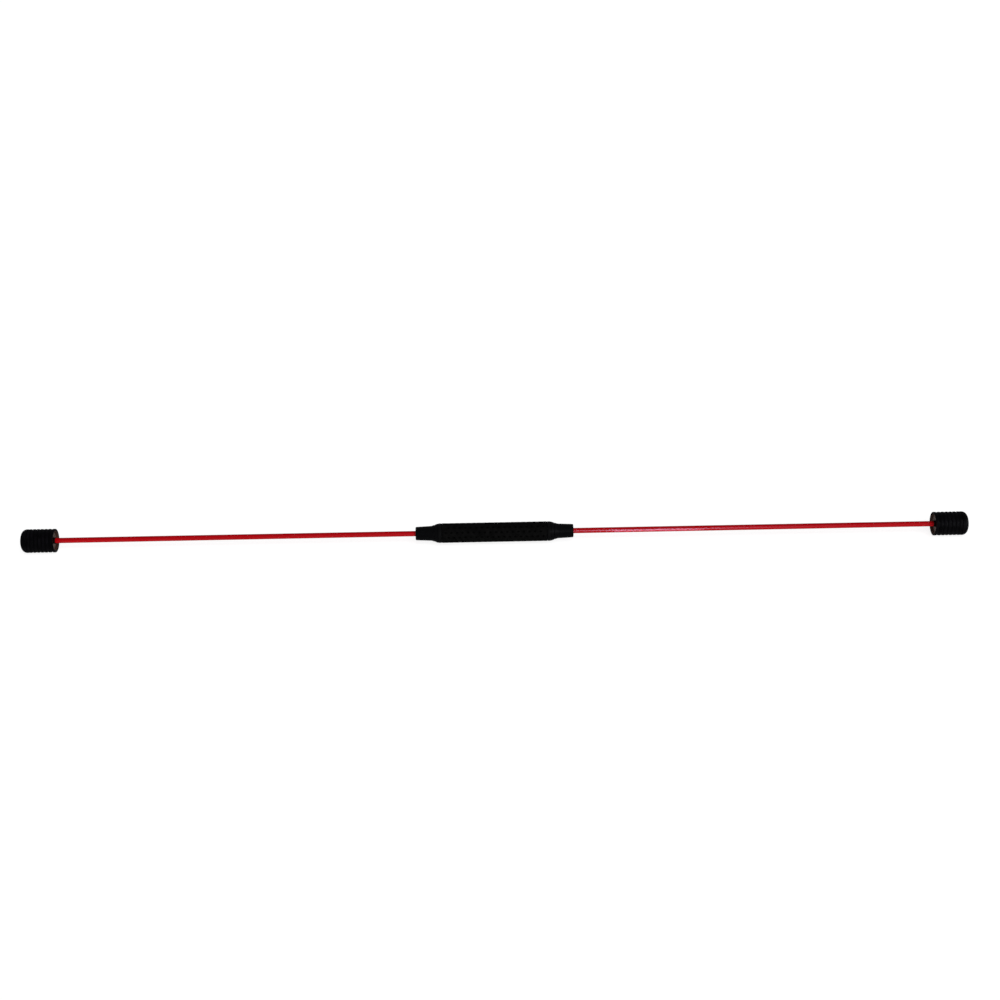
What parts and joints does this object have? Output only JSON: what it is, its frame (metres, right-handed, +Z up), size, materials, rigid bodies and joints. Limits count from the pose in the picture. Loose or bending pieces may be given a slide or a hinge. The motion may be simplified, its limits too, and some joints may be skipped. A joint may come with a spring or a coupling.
{
  "type": "flexible swing bar",
  "caption": "Springy glass-fibre rod with a rubber hand grip at its middle and a ribbed rubber-covered weight on each end, shaken so that the ends swing.",
  "frame": {"origin": "middle of the grip, on the rod's axis, which is the centre of the whole bar", "axes": "+X along the rod towards the right-hand weight, +Z up, +Y away from a viewer who sees the bar's front"},
  "size_m": [1.6, 0.04, 0.04],
  "materials": {
    "rod_glass_fibre": "glossy red glass-fibre rod with faint fibres along it",
    "core_nylon": "moulded nylon, satin",
    "sleeve_rubber": "black rubber with rows of fine dimples",
    "ring_rubber": "smooth black rubber, slightly shiny",
    "collar_rubber": "smooth black rubber, satin, slightly cool",
    "bush_rubber": "soft matt black rubber",
    "weight_rubber": "ribbed black rubber, satin",
    "cup_plastic": "dark warm grey moulded plastic",
    "boot_rubber": "soft matt black rubber",
    "slug_steel": "turned steel",
    "ferrule_brass": "turned brass",
    "screw_steel": "blackened steel"
  },
  "bodies": {
    "grip": {"rod": "rod_glass_fibre", "grip_core_front": "core_nylon", "grip_core_rear": "core_nylon", "grip_sleeve": "sleeve_rubber", "left_grip_ring": "ring_rubber", "right_grip_ring": "ring_rubber", "left_grip_collar": "collar_rubber", "right_grip_collar": "collar_rubber", "left_rod_bush": "bush_rubber", "right_rod_bush": "bush_rubber"},
    "left_end": {"left_weight_shell": "weight_rubber", "left_weight_face_cup": "cup_plastic", "left_rod_boot": "boot_rubber", "left_weight_slug": "slug_steel", "left_rod_ferrule": "ferrule_brass", "left_set_screw": "screw_steel"},
    "right_end": {"right_weight_shell": "weight_rubber", "right_weight_face_cup": "cup_plastic", "right_rod_boot": "boot_rubber", "right_weight_slug": "slug_steel", "right_rod_ferrule": "ferrule_brass", "right_set_screw": "screw_steel"}
  },
  "joints": [
    {"name": "left_flex", "type": "hinge", "parent": "grip", "child": "left_end", "pos_m": [-0.34623, 0, 0], "axis": [0, 0, -1], "range_deg": [-20, 20], "stiffness_Nm_per_rad": 27, "deforming": ["rod"]},
    {"name": "right_flex", "type": "hinge", "parent": "grip", "child": "right_end", "pos_m": [0.34623, 0, 0], "axis": [0, 0, 1], "range_deg": [-20, 20], "stiffness_Nm_per_rad": 27, "deforming": ["rod"]}
  ]
}
